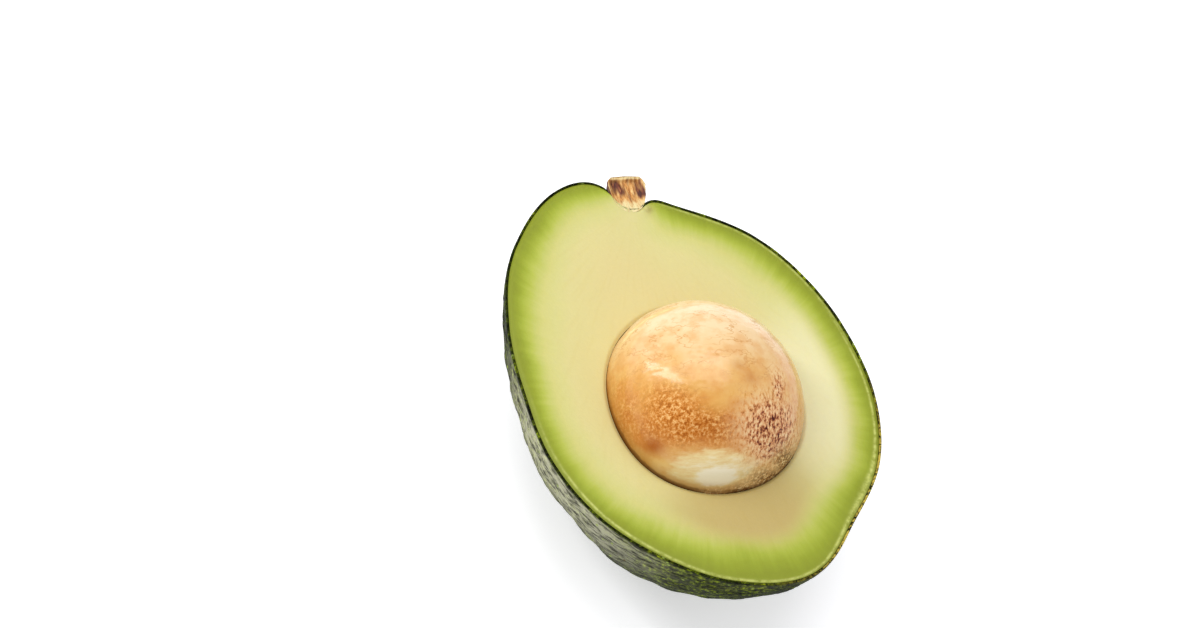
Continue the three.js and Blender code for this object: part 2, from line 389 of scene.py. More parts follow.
def flesh_material(settings):
    """Cut avocado flesh: buttery, moist and slightly see-through. Cream-yellow in the middle, green
    under the skin with no hard line between, and tan where it lies close below the seed, partly browning
    and partly painted shade. Painted shade lies beside the seed's lower left and along its crevice,
    painted light on the seed's right against its cast shadow, and a painted highlight along the rim.
    Grain runs in from the skin, and a few faint fibres run from the stem. The grain of real flesh is
    finer than the render can show, so it is drawn at 0.6 to 1.6 mm."""
    material, tree = new_material("moist_cut_flesh")
    place = add_node(tree, "ShaderNodeTexCoord").outputs["Object"]
    # Of these masks, tan is partly painted shade, pale partly painted light, rim a painted highlight, and
    # stain partly painted shade of the crevice round the seed
    depth, tan, pale, rim, stain = (
        add_node(tree, "ShaderNodeAttribute", attribute_name=name).outputs["Fac"]
        for name in ("rind_depth", "tan", "pale", "rim", "stain")
    )
    grain_place, fibre_place = (
        add_node(tree, "ShaderNodeAttribute", attribute_name=name).outputs["Vector"]
        for name in ("rind_grain", "stem_fibres")
    )
    cloud, grain, glint, speck, fine = (
        add_node(tree, "ShaderNodeTexNoise", {
            "Vector": where, "Scale": per_metre(size), "Detail": detail, "Roughness": roughness,
        }).outputs["Fac"]
        for where, size, detail, roughness in (
            (place, 8, 2, 0.5), (grain_place, 1.6, 3, 0.6),
            (place, 1.3, 3, 0.6), (place, 0.9, 3, 0.6), (place, 0.6, 3, 0.6),
        )
    )

    # The rind's depth wanders slowly and is combed by the grain before it picks a colour
    wander, comb = (
        add_node(tree, "ShaderNodeMath", {0: noise, 1: swing, 2: -swing / 2}, operation="MULTIPLY_ADD")
        for noise, swing in ((cloud, 2.0), (grain, 1.6))
    )
    for shift in (wander, comb):
        depth = add_node(tree, "ShaderNodeMath", {0: depth, 1: shift.outputs[0]}, operation="ADD").outputs[0]
    share = add_node(tree, "ShaderNodeMath", {0: depth, 1: HEART_DEPTH}, operation="DIVIDE").outputs[0]
    colour = add_node(tree, "ShaderNodeValToRGB", {"Fac": share}, stops=[
        (0.8 / HEART_DEPTH, linear("#8b9526")),
        (2.0 / HEART_DEPTH, linear("#96a22a")),
        (3.0 / HEART_DEPTH, linear("#a6b23a")),
        (4.0 / HEART_DEPTH, linear("#b6be50")),
        (5.0 / HEART_DEPTH, linear("#c2c568")),
        (6.5 / HEART_DEPTH, linear("#d0cc7c")),
        (8.2 / HEART_DEPTH, linear("#d4cf86")),
        (11 / HEART_DEPTH, linear("#dad08e")),
        (1.0, tuple(settings.heart_colour)),
    ]).outputs["Color"]

    # The rim's painted highlight and the stain, with its painted crevice shade, are broken up by noise, the
    # other patches are soft
    broken = add_node(tree, "ShaderNodeMapRange", {
        "Value": glint, "From Min": 0.35, "From Max": 0.6, "To Min": 0.25,
    }).outputs[0]
    rim_highlight_share, stain_and_shade_share = (
        add_node(tree, "ShaderNodeMath", {0: mark, 1: broken}, operation="MULTIPLY").outputs[0]
        for mark in (rim, stain)
    )
    for share, over in (
        (tan, settings.tan_and_shade_colour),
        (pale, settings.pale_and_lit_colour),
        (rim_highlight_share, settings.rim_highlight_colour),
        (stain_and_shade_share, settings.stain_and_shade_colour),
    ):
        colour = add_node(tree, "ShaderNodeMix", {
            SHARE: share, UNDER: colour, OVER: (*over, 1),
        }, data_type="RGBA").outputs[MIXED]

    # Faint fibres from the stem and an even speckle darken it a little
    fibre = add_node(tree, "ShaderNodeTexNoise", {
        "Vector": fibre_place, "Scale": 1.0, "Detail": 2, "Roughness": 0.5,
    }).outputs["Fac"]
    fibre_shade = add_node(tree, "ShaderNodeValToRGB", {"Fac": fibre}, stops=[
        (0.36, linear("#f3e6bb")), (0.46, WHITE), (1, WHITE),
    ]).outputs["Color"]
    speck_shade = add_node(tree, "ShaderNodeValToRGB", {"Fac": speck}, stops=[
        (0, (0.94, 0.94, 0.94)), (1, WHITE),
    ]).outputs["Color"]
    for share, shade in ((0.07, fibre_shade), (1.0, speck_shade)):
        colour = add_node(tree, "ShaderNodeMix", {
            SHARE: share, UNDER: colour, OVER: shade,
        }, data_type="RGBA", blend_type="MULTIPLY").outputs[MIXED]

    bump = add_node(tree, "ShaderNodeBump", {"Height": fine, "Strength": 0.25, "Distance": 0.12 * MM})
    shader = add_node(tree, "ShaderNodeBsdfPrincipled", {
        "Base Color": colour,
        "Roughness": 0.42,
        "IOR": 1.4,
        "Specular IOR Level": 0.3,
        "Subsurface Weight": 0.2,
        "Subsurface Radius": (1.0, 0.8, 0.35),
        "Subsurface Scale": 2.0 * MM,
        "Normal": bump.outputs["Normal"],
    })
    add_node(tree, "ShaderNodeOutputMaterial", {"Surface": shader.outputs["BSDF"]})
    return material


def skin_material(settings):
    """Avocado skin: thin, leathery and waxy. Deep green in patches, with streaks along the fruit painted
    dark in the grain's pits and light, like glints, on its ridges, a yellow-green speckle, pale green
    pores and small corky scars. Greyish wax with a painted sheen dulls and lightens one flank, and its
    leathery grain leaves it only a low, broken gloss. The cut edge is chipped yellow on one side. The
    grain and speckle of real skin are finer than the render can show, so they are drawn at 0.8 to 0.9 mm."""
    material, tree = new_material("waxy_green_skin")
    place = add_node(tree, "ShaderNodeTexCoord").outputs["Object"]
    along = add_node(tree, "ShaderNodeAttribute", attribute_name="along_skin").outputs["Vector"]
    wax_sheen, edge = (
        add_node(tree, "ShaderNodeAttribute", attribute_name=name).outputs["Fac"]
        for name in ("wax_sheen", "cut_edge")
    )
    patch, streak, speckle, scar, leather = (
        add_node(tree, "ShaderNodeTexNoise", {
            "Vector": where, "Scale": per_metre(size), "Detail": detail, "Roughness": roughness,
        }).outputs["Fac"]
        for where, size, detail, roughness in (
            (place, 10, 4, 0.6), (along, 0.8, 4, 0.7), (place, 0.9, 3, 0.7),
            (place, 4.5, 5, 0.7), (along, 0.8, 4, 0.65),
        )
    )
    colour = add_node(tree, "ShaderNodeValToRGB", {"Fac": patch}, stops=[
        (0.35, tuple(settings.dark_colour)),
        (0.55, tuple(settings.skin_colour)),
        (0.75, linear("#727c1c")),
    ]).outputs["Color"]
    # Painted shade and glints: the streaks are dark in the grain's pits and light on its ridges
    streak_light_and_shade = add_node(tree, "ShaderNodeValToRGB", {"Fac": streak}, stops=[
        (0.4, linear("#3c3c34")), (0.52, linear("#c8c8bc")), (0.68, (1.6, 1.6, 1.3)),
    ]).outputs["Color"]
    speckle_shade = add_node(tree, "ShaderNodeValToRGB", {"Fac": speckle}, stops=[
        (0.4, linear("#404038")), (0.52, linear("#d8d8c8")), (0.66, (3.0, 2.9, 1.0)),
    ]).outputs["Color"]
    for shade in (streak_light_and_shade, speckle_shade):
        colour = add_node(tree, "ShaderNodeMix", {
            SHARE: 0.9, UNDER: colour, OVER: shade,
        }, data_type="RGBA", blend_type="MULTIPLY").outputs[MIXED]

    # Wax with a painted sheen of the white surroundings lies on the paler streaks of the flank, and the
    # cut edge is yellow where the speckle is pale
    wax_and_sheen_streaks = add_node(tree, "ShaderNodeMapRange", {
        "Value": streak, "From Min": 0.4, "From Max": 0.55, "To Min": 0.15, "To Max": 0.85,
    }).outputs[0]
    chipped = add_node(tree, "ShaderNodeMapRange", {
        "Value": speckle, "From Min": 0.42, "From Max": 0.54,
    }).outputs[0]
    wax_sheen_share, edge_share = (
        add_node(tree, "ShaderNodeMath", {0: mark, 1: noise}, operation="MULTIPLY").outputs[0]
        for mark, noise in ((wax_sheen, wax_and_sheen_streaks), (edge, chipped))
    )
    pore = add_node(tree, "ShaderNodeTexVoronoi", {
        "Vector": place, "Scale": per_metre(2.6), "Randomness": 1.0,
    }).outputs["Distance"]
    pore_share = add_node(tree, "ShaderNodeMapRange", {
        "Value": pore, "From Min": 0.07, "From Max": 0.16, "To Min": 1.0, "To Max": 0.0,
    }).outputs[0]
    scar_share = add_node(tree, "ShaderNodeMapRange", {
        "Value": scar, "From Min": 0.69, "From Max": 0.74, "To Min": 0.0, "To Max": 0.85,
    }).outputs[0]
    for share, over in (
        (wax_sheen_share, settings.wax_sheen_colour),
        (pore_share, settings.pore_colour),
        (scar_share, settings.scar_colour),
        (edge_share, settings.edge_colour),
    ):
        colour = add_node(tree, "ShaderNodeMix", {
            SHARE: share, UNDER: colour, OVER: (*over, 1),
        }, data_type="RGBA").outputs[MIXED]

    bump = add_node(tree, "ShaderNodeBump", {"Height": leather, "Strength": 0.9, "Distance": 0.35 * MM})
    gloss = add_node(tree, "ShaderNodeMapRange", {
        "Value": patch, "From Min": 0.3, "From Max": 0.7, "To Min": 0.62, "To Max": 0.5,
    })
    shader = add_node(tree, "ShaderNodeBsdfPrincipled", {
        "Base Color": colour,
        "Roughness": gloss.outputs[0],
        "IOR": 1.47,
        "Specular IOR Level": 0.05,
        "Normal": bump.outputs["Normal"],
    })
    add_node(tree, "ShaderNodeOutputMaterial", {"Surface": shader.outputs["BSDF"]})
    return material


def seed_material(settings):
    """Avocado seed coat: a thin papery brown coat on a hard seed, with a soft sheen. Peach with fine
    tan creases on its upper end, golden to orange-brown and grainy round the belly, flecked
    maroon-brown on one side, and bare cream at the lower end where the coat has come off. A highlight
    is painted in cream along its upper left edge, and shade is painted in brown along its lower side
    where it meets the flesh. The coat's own grain is finer than the render can show, so it is drawn
    at 0.55 to 0.65 mm."""
    material, tree = new_material("papery_seed_coat")
    place = add_node(tree, "ShaderNodeTexCoord").outputs["Object"]
    height, crease, belt, rust, bare, dark, edge, grime, line = (
        add_node(tree, "ShaderNodeAttribute", attribute_name=name).outputs["Fac"]
        for name in (
            "towards_crown", "crease", "belt", "rust", "bare_end_and_highlight",
            "dark_patch", "stain_and_shade_edge", "rim_crumbs", "crevice_shade_line",
        )
    )
    upright = add_node(tree, "ShaderNodeAttribute", attribute_name="coat_grain").outputs["Vector"]
    fold_place, tear_place = (
        add_node(tree, "ShaderNodeMapping", {"Vector": upright, "Scale": stretch}).outputs[0]
        for stretch in ((0.45, 2.0, 0.6), (0.35, 2.4, 1))
    )
    cloud, mottle, fold, crumb, tear, fleck, fine = (
        add_node(tree, "ShaderNodeTexNoise", {
            "Vector": where, "Scale": per_metre(size), "Detail": detail, "Roughness": roughness,
        }).outputs["Fac"]
        for where, size, detail, roughness in (
            (place, 5, 5, 0.65), (place, 3.2, 4, 0.55), (fold_place, 2.0, 3, 0.55),
            (place, 0.65, 4, 0.7), (tear_place, 1.6, 4, 0.65), (upright, 0.55, 4, 0.7),
            (upright, 0.6, 4, 0.65),
        )
    )

    # The zones follow the height on the seed, with a wandering edge, under a soft mottle
    wander = add_node(tree, "ShaderNodeMath", {0: cloud, 1: 0.5, 2: -0.25}, operation="MULTIPLY_ADD")
    moved = add_node(tree, "ShaderNodeMath", {0: height, 1: wander.outputs[0]}, operation="ADD")
    share = add_node(tree, "ShaderNodeMapRange", {
        "Value": moved.outputs[0], "From Min": -1.0, "From Max": 1.0,
    })
    zones = add_node(tree, "ShaderNodeValToRGB", {"Fac": share.outputs[0]}, stops=[
        (0.12, linear("#f0d29a")),
        (0.24, linear("#e9bd70")),
        (0.33, linear("#d8954a")),
        (0.42, linear("#cf8738")),
        (0.5, linear("#da9c48")),
        (0.58, linear("#e2ab58")),
        (0.67, linear("#e6b56c")),
        (0.76, linear("#ebc48a")),
        (0.9, linear("#f1d4a6")),
    ]).outputs["Color"]
    mottle_shade = add_node(tree, "ShaderNodeValToRGB", {"Fac": mottle}, stops=[
        (0.38, linear("#f0cfa2")), (0.56, WHITE), (1, WHITE),
    ]).outputs["Color"]
    colour = add_node(tree, "ShaderNodeMix", {
        SHARE: 0.5, UNDER: zones, OVER: mottle_shade,
    }, data_type="RGBA", blend_type="MULTIPLY").outputs[MIXED]

    # Creases are thin lines where the fold noise crosses one level
    fold_line = add_node(tree, "ShaderNodeValToRGB", {"Fac": fold}, stops=[
        (0.43, BLACK), (0.455, WHITE), (0.48, BLACK),
    ]).outputs["Color"]
    crease_share = add_node(tree, "ShaderNodeMath", {
        0: fold_line, 1: crease,
    }, operation="MULTIPLY").outputs[0]

    # The coat is torn along the bare end, which is whitest where most of it is gone. The same cream
    # paints a highlight along the upper left edge
    torn = add_node(tree, "ShaderNodeMath", {0: tear, 1: bare}, operation="ADD").outputs[0]
    bare_and_highlight_share, bare_level = (
        add_node(tree, "ShaderNodeMapRange", {"Value": torn, "From Min": low, "From Max": high}).outputs[0]
        for low, high in ((0.66, 0.86), (0.78, 1.3))
    )
    cream = add_node(tree, "ShaderNodeValToRGB", {"Fac": bare_level}, stops=[
        (0.0, linear("#e8c07e")),
        (0.45, linear("#f2da9e")),
        (0.9, tuple(settings.bare_colour)),
    ]).outputs["Color"]

    # The flecks are darkest and most crowded in the middle of the dark patch
    fleck_reach = add_node(tree, "ShaderNodeMath", {0: dark, 1: 0.16, 2: -0.14}, operation="MULTIPLY_ADD")
    fleck_level = add_node(tree, "ShaderNodeMath", {0: fleck, 1: fleck_reach.outputs[0]}, operation="ADD")
    fleck_shade = add_node(tree, "ShaderNodeValToRGB", {"Fac": fleck_level.outputs[0]}, stops=[
        (0.37, linear("#f6d6a4")),
        (0.48, tuple(settings.blush_colour)),
        (0.55, linear("#b0623c")),
        (0.6, tuple(settings.fleck_colour)),
    ]).outputs["Color"]
    fleck_share = add_node(tree, "ShaderNodeMapRange", {
        "Value": dark, "From Min": 0.0, "From Max": 0.8,
    }).outputs[0]

    # One crumbly noise colours both the grainy belt and the crumbs along the lower edge
    belt_shade = add_node(tree, "ShaderNodeValToRGB", {"Fac": crumb}, stops=[
        (0.36, linear("#9a5214")),
        (0.5, linear("#cc7e30")),
        (0.62, linear("#f2c07a")),
    ]).outputs["Color"]
    crumb_shade = add_node(tree, "ShaderNodeValToRGB", {"Fac": crumb}, stops=[
        (0.46, tuple(settings.crumb_colour)),
        (0.53, linear("#b87a36")),
        (0.61, linear("#f2dca4")),
    ]).outputs["Color"]
    # The edge is partly painted shade and the line is painted shade of the crevice
    for share, over in (
        (crease_share, (*settings.crease_colour, 1)),
        (belt, belt_shade),
        (rust, (*settings.rust_colour, 1)),
        (bare_and_highlight_share, cream),
        (fleck_share, fleck_shade),
        (edge, (*settings.edge_colour, 1)),
        (grime, crumb_shade),
        (line, (*settings.crevice_shade_colour, 1)),
    ):
        colour = add_node(tree, "ShaderNodeMix", {
            SHARE: share, UNDER: colour, OVER: over,
        }, data_type="RGBA").outputs[MIXED]

    # The coat is rougher to the touch and duller where it is grainy, flecked or rusty
    rough = belt
    for mark in (dark, rust):
        rough = add_node(tree, "ShaderNodeMath", {0: rough, 1: mark}, operation="MAXIMUM").outputs[0]
    relief = add_node(tree, "ShaderNodeMapRange", {
        "Value": rough, "To Min": 0.03 * MM, "To Max": 0.22 * MM,
    })
    sheen = add_node(tree, "ShaderNodeMapRange", {"Value": rough, "To Min": 0.5, "To Max": 0.12})
    bump = add_node(tree, "ShaderNodeBump", {"Height": fine, "Strength": 0.5, "Distance": relief.outputs[0]})
    shader = add_node(tree, "ShaderNodeBsdfPrincipled", {
        "Base Color": colour,
        "Roughness": 0.21,
        "IOR": 1.45,
        "Specular IOR Level": sheen.outputs[0],
        "Normal": bump.outputs["Normal"],
    })
    add_node(tree, "ShaderNodeOutputMaterial", {"Surface": shader.outputs["BSDF"]})
    return material


def stem_material(settings):
    """Cut avocado stem: maroon-brown bark with a pale painted highlight along its edge, round a tan
    woody core with long fibres, cream where the fibres run into the flesh. Dry and rough. Its fibres
    are drawn 0.6 mm thick, coarser than real ones, so that they show."""
    material, tree = new_material("dry_fibrous_stem")
    bark, foot = (
        add_node(tree, "ShaderNodeAttribute", attribute_name=name).outputs["Fac"]
        for name in ("bark", "foot")
    )
    along = add_node(tree, "ShaderNodeAttribute", attribute_name="stem_grain").outputs["Vector"]
    fibre = add_node(tree, "ShaderNodeTexNoise", {
        "Vector": along, "Scale": per_metre(0.6), "Detail": 4, "Roughness": 0.7,
    }).outputs["Fac"]
    colour = add_node(tree, "ShaderNodeValToRGB", {"Fac": fibre}, stops=[
        (0.34, linear("#94501e")),
        (0.48, linear("#d49448")),
        (0.62, linear("#f2cc88")),
    ]).outputs["Color"]
    bark_shade = add_node(tree, "ShaderNodeValToRGB", {"Fac": fibre}, stops=[
        (0.42, tuple(settings.bark_colour)),
        (0.58, linear("#763418")),
        (0.68, linear("#b87a48")),
    ]).outputs["Color"]
    foot_and_highlight_shade = add_node(tree, "ShaderNodeValToRGB", {"Fac": fibre}, stops=[
        (0.36, linear("#c99a55")),
        (0.5, tuple(settings.fibre_colour)),
    ]).outputs["Color"]
    # The pale shade covers the foot and the painted highlight along the face's edge
    for share, over in ((bark, bark_shade), (foot, foot_and_highlight_shade)):
        colour = add_node(tree, "ShaderNodeMix", {
            SHARE: share, UNDER: colour, OVER: over,
        }, data_type="RGBA").outputs[MIXED]
    bump = add_node(tree, "ShaderNodeBump", {"Height": fibre, "Strength": 0.7, "Distance": 0.3 * MM})
    shader = add_node(tree, "ShaderNodeBsdfPrincipled", {
        "Base Color": colour,
        "Roughness": 0.65,
        "IOR": 1.5,
        "Normal": bump.outputs["Normal"],
    })
    add_node(tree, "ShaderNodeOutputMaterial", {"Surface": shader.outputs["BSDF"]})
    return material


def floor_material(settings):
    """Light table of matt white acrylic, lit softly from below so that it stays white under the fruit.
    The unevenness of its sheen is finer in a real sheet, and is drawn at 3 mm."""
    material, tree = new_material("matt_white_acrylic")
    place = add_node(tree, "ShaderNodeTexCoord").outputs["Object"]
    noise = add_node(tree, "ShaderNodeTexNoise", {"Vector": place, "Scale": per_metre(3), "Detail": 2})
    rough = add_node(tree, "ShaderNodeMapRange", {
        "Value": noise.outputs["Fac"], "To Min": 0.85, "To Max": 0.95,
    })
    shader = add_node(tree, "ShaderNodeBsdfPrincipled", {
        "Base Color": (*settings.floor_colour, 1),
        "Roughness": rough.outputs[0],
        "Specular IOR Level": 0.2,
        "Emission Color": (*WHITE, 1),
        "Emission Strength": settings.floor_glow,
    })
    add_node(tree, "ShaderNodeOutputMaterial", {"Surface": shader.outputs["BSDF"]})
    return material


# Settings

class FleshSettings(bpy.types.PropertyGroup):
    """Cut flesh"""
    heart_colour: colour_property("Heart", "Flesh furthest from the skin", "#dccd8d")
    # Tan is partly browning and partly painted shade below and beside the seed
    tan_and_shade_colour: colour_property("Tan", "Flesh close below the seed", "#c2ac6b")
    # Pale is partly the flesh's own tone and partly painted light against the seed's cast shadow
    pale_and_lit_colour: colour_property("Pale", "Palest flesh, on one side of the seed", "#ebe6b6")
    # Rim is a painted highlight on the flesh's rounded edge beside the skin
    rim_highlight_colour: colour_property("Rim", "Bright edge of flesh beside the skin", "#d0d676")
    # Stain also paints the shade of the crevice round the seed's lower side
    stain_and_shade_colour: colour_property("Stain", "Brown stain of the seed coat on the flesh", "#7a5220")
    lip: length_property("Lip", "How far the flesh rounds down into the seed's cavity", 0.45)
    columns: bpy.props.IntProperty(name="Columns", description="Points round the face", default=480, min=64)


class SkinSettings(bpy.types.PropertyGroup):
    """Pebbled skin"""
    skin_colour: colour_property("Skin", "Main green of the skin", "#525f12")
    dark_colour: colour_property("Patches", "Darker green patches", "#222e08")
    # Bloom paints the flank's sheen as well as its greyish wax
    wax_sheen_colour: colour_property("Bloom", "Greyish wax on the skin", "#d6d4b4")
    pore_colour: colour_property("Pores", "Pale green pores", "#8fa24a")
    scar_colour: colour_property("Scars", "Corky brown scars", "#5a4322")
    edge_colour: colour_property("Edge", "Chipped yellow edge of the cut skin", "#cdb650")
    thickness: length_property("Thickness", "Thickness of the skin at the cut", 0.55)
    columns: bpy.props.IntProperty(name="Columns", description="Points round the skin", default=480, min=64)


class SeedSettings(bpy.types.PropertyGroup):
    """Seed with its coat"""
    crease_colour: colour_property("Creases", "Tan of the coat's creases", "#cf9450")
    rust_colour: colour_property("Rust", "Reddest spot of the coat", "#a85408")
    fleck_colour: colour_property("Flecks", "Dark flecks on one side", "#4e1e18")
    blush_colour: colour_property("Blush", "Pinkish ground between the flecks", "#e4a872")
    # The bare cream also paints a highlight along the upper left edge
    bare_colour: colour_property("Bare end", "Cream seed where the coat is gone", "#fcf0d0")
    crumb_colour: colour_property("Crumbs", "Brown crumbs of coat along the lower edge", "#5a3412")
    # Edge is partly stain and partly painted shade, and Line is painted shade of the crevice
    edge_colour: colour_property("Edge", "Golden-brown stain where the seed meets the flesh", "#b07c2a")
    crevice_shade_colour: colour_property("Line", "Dark line where the seed meets the flesh", "#704616")
    columns: bpy.props.IntProperty(name="Columns", description="Points round the seed", default=400, min=64)


class StemSettings(bpy.types.PropertyGroup):
    """Half stem stub"""
    bark_colour: colour_property("Bark", "Bark round the stub", "#451a10")
    # The pale fibres also paint the highlight along the face's edge
    fibre_colour: colour_property("Fibres", "Pale fibres at the foot", "#ead9a0")
    columns: bpy.props.IntProperty(name="Columns", description="Points round the stub", default=144, min=24)


class StageSettings(bpy.types.PropertyGroup):
    """Floor, lights and camera"""
    floor_colour: colour_property("Floor", "Colour of the floor", "#fbfbfd")
    floor_glow: bpy.props.FloatProperty(
        name="Floor glow", description="Strength of the light from under the floor", default=0.43, min=0,
    )
    sky_strength: bpy.props.FloatProperty(
        name="Fill", description="Strength of the even light", default=0.6, min=0,
    )
    key_power: bpy.props.FloatProperty(
        name="Key", description="Power of the long softbox", default=3, min=0, unit="POWER",
    )
    top_power: bpy.props.FloatProperty(
        name="Top", description="Power of the top softbox", default=6.6, min=0, unit="POWER",
    )


# Pieces

def build_flesh(settings, skin):
    """Flesh: up the seed's cavity, which lies closer to the seed on one side than on the other, over a
    rounded lip, across the cut face with a slight swell, over a rounded rim and down just inside the
    skin."""
    turn = fruit_turns(settings.columns)
    lip = settings.lip / MM
    thickness = skin.thickness / MM
    cavity_rings, face_rings, wall_rings = 35, 95, 34

    # The cavity stands a full gap off the seed round one side, and closer to it round the rest
    grow = SEED_GAP + WRINKLE_HEIGHT
    closer = 0.26
    lip_rise = math.asin(SEED_SUNK / (SEED_HALF_AXES[2] + grow))
    rise = np.linspace(-math.pi / 2, lip_rise, cavity_rings + 1)[1:, None]
    cavity = seed_points(turn[None], rise, grow)
    tight = 1 - near(turn, 205, 62, 4)
    cavity[..., :2] -= (closer * tight)[None, :, None] * direction(turn, np.zeros_like(turn))[None, :, :2]

    # The face runs from the cavity's mouth to a seam short of the skin, with rings closer together at
    # both, and dips at both edges. The wall goes on down behind the skin.
    seam = 0.03
    mouth = cavity[-1] * np.array([1, 1, 0])
    outline = skin_points(turn, np.zeros_like(turn))
    radius = np.linalg.norm(outline, axis=-1)
    rim = outline * ((radius - thickness - seam) / radius)[:, None]
    even = np.linspace(0, 1, face_rings + 1)[1:]
    share = 0.45 * even + 0.55 * (1 - np.cos(math.pi * even)) / 2
    face = mouth + (rim - mouth) * share[:, None, None]
    span = np.linalg.norm(rim - mouth, axis=-1)
    from_seed = share[:, None] * span
    from_skin = (1 - share[:, None]) * span
    swell = 0.12 * ripple(face, 16, seed=3, stretch=(1, 1, 0)) * smoothstep(from_seed, 0, 5)
    face[..., 2] += swell * smoothstep(from_skin, 0, 4)
    face[..., 2] -= lip * falloff(from_seed, lip)
    face[..., 2] -= 0.25 * falloff(from_skin, 0.45)
    cavity[-1, :, 2] = -lip
    dip = np.linspace(0.03, LAST_DIP, wall_rings)[:, None]
    wall = skin_points(turn[None], dip) - direction(turn[None], -dip) * (thickness + 0.6)
    wall[..., 2] = np.maximum(wall[..., 2], FLESH_BASE - FACE_HEIGHT)
    rings = clear_of_stem(np.concatenate([cavity, face, wall]), 0.1)

    # Depth below the skin across the face, measured square to it. The green is wider on some sides,
    # and ends sooner round the stem.
    plain = face_radius(turn)
    straight = plain / np.hypot(plain, np.gradient(plain, turn))
    rind = (plain - thickness - np.linalg.norm(rings[..., :2], axis=-1)) * straight
    heading = heading_of(rings)
    widened = sum(extra * near(heading, degrees, width) for extra, degrees, width in (
        (0.95, 260, 30), (0.25, 30, 22), (0.2, 118, 14), (-0.12, 165, 18),
    ))
    on_face = np.zeros((len(rings), 1))
    on_face[cavity_rings - 1:cavity_rings + face_rings] = 1
    from_foot = rings[..., :2] - STEM_FOOT
    away = np.linalg.norm(from_foot, axis=-1)
    depth = rind / (1 + widened) + 6 * falloff(away, 4.5)
    depth = depth * on_face + HEART_DEPTH * (1 - on_face)

    # Tan below the seed, partly browning and partly painted shade where the face darkens away from the
    # light, painted shade along the seed's lower left, and pale flesh on its right that is partly its own
    # tone and partly painted light against the seed's cast shadow
    from_lip = from_mouth(rings)
    tan_and_shade_below_seed = near(heading, 259, 38, 4) * smoothstep(rind, 6, 12)
    shade_beside_seed = 0.5 * near(heading, 235, 70, 4) * (1 - smoothstep(from_lip, 0, 3.5))
    pale = 0.85 * near(heading, 342, 42, 4) * smoothstep(rind, 4.5, 9) * on_face

    # Painted highlight just inside the rim, widened on one side into a flecked fringe, painted brown shade
    # along the crevice round the seed's lower side, and brown stain beside the stem
    line = 0.9 - 0.55 * near(heading, 250, 45)
    highlight_width = 0.24 + 0.35 * near(heading, 302, 16)
    lower_rim_highlight = near(heading, 270, 95, 6) * falloff(rind - line, highlight_width)
    upper_rim_highlight = 0.8 * near(heading, 38, 38, 4) * falloff(rind - 0.4, 0.3)
    # Brown painted shade on the flesh beside the crevice on the seed's lower side
    crevice_shade_round_seed = near(heading, 232, 68, 6) * (1 - smoothstep(from_lip, 0.15, 0.6))
    beside_stem = 0.5 * falloff(np.linalg.norm(from_foot - np.array([3.4, -1.4]), axis=-1), 1.4)

    # Grain that is drawn out square to the skin, and fibres that fan out from the stem
    skin_point = np.append(outline_point(heading), np.zeros_like(heading)[..., None], -1)
    level = np.zeros_like(rind)
    grain = skin_point * MM + np.stack([level, level, rind * 0.12 * MM], -1)
    away = away[..., None]
    fibres = np.append(from_foot / np.maximum(away, 1e-6) * 28, away / 9, -1)
    first = np.array([0, 0, -SEED_SUNK - SEED_HALF_AXES[2] - grow])
    last = np.array([0, 0, FLESH_BASE - FACE_HEIGHT])
    return surface_object("flesh", first, rings, last, {
        "rind_depth": depth,
        "tan": np.clip(np.maximum(tan_and_shade_below_seed, shade_beside_seed), 0, 1) * on_face,
        "pale": pale,
        "rim": np.maximum(lower_rim_highlight, upper_rim_highlight) * on_face,
        "stain": np.maximum(crevice_shade_round_seed, beside_stem),
        "rind_grain": grain,
        "stem_fibres": fibres,
    })


def build_skin(settings):
    """Skin: a thin closed shell. Up its inner wall, over a rounded edge that wavers a little at the cut,
    and down its pebbled outside to the flat that it rests on."""
    turn = fruit_turns(settings.columns)
    thickness = settings.thickness / MM
    inner_rings, outer_rings = 26, 168
    inner_dip = np.linspace(LAST_DIP, 0.012, inner_rings)[:, None]
    inner = skin_points(turn[None], inner_dip) - direction(turn[None], -inner_dip) * thickness
    edge_dip = np.array([0.002, 0.0, 0.002])[:, None]
    edge_inset = np.array([0.8, 0.45, 0.1])[:, None, None] * thickness
    edge = skin_points(turn[None], edge_dip) - direction(turn[None], -edge_dip) * edge_inset
    edge[..., 2] += 0.05 * ripple(edge, 5, seed=8)
    outer_dip = np.concatenate([[0.006, 0.014], np.linspace(0.024, LAST_DIP, outer_rings)])[:, None]
    outer = skin_points(turn[None], outer_dip)
    outer = outer - direction(turn[None], -outer_dip) * pebble_depth(outer)[..., None]
    rings = clear_of_stem(np.concatenate([inner, edge, outer]), 0.35)
    base = np.full((len(rings), 1), -FACE_HEIGHT)
    base[:inner_rings] += SKIN_BASE
    rings[..., 2] = np.maximum(rings[..., 2], base)
    first = np.array([0, 0, SKIN_BASE - FACE_HEIGHT])
    last = np.array([0, 0, -FACE_HEIGHT])

    # Wax with a painted sheen on the upper part of one flank, and the chipped part of the cut edge
    heading = heading_of(rings)
    below = -rings[..., 2]
    flank = 0.7 * near(heading, 185, 38, 4) * (1 - smoothstep(below, 4, 22))
    return surface_object("skin", first, rings, last, {
        "along_skin": along_fruit(rings) * MM,
        "wax_sheen": flank * smoothstep(below, 0.2, 0.9),
        "cut_edge": falloff(below, 0.4) * near(heading, 302, 34, 4),
    })


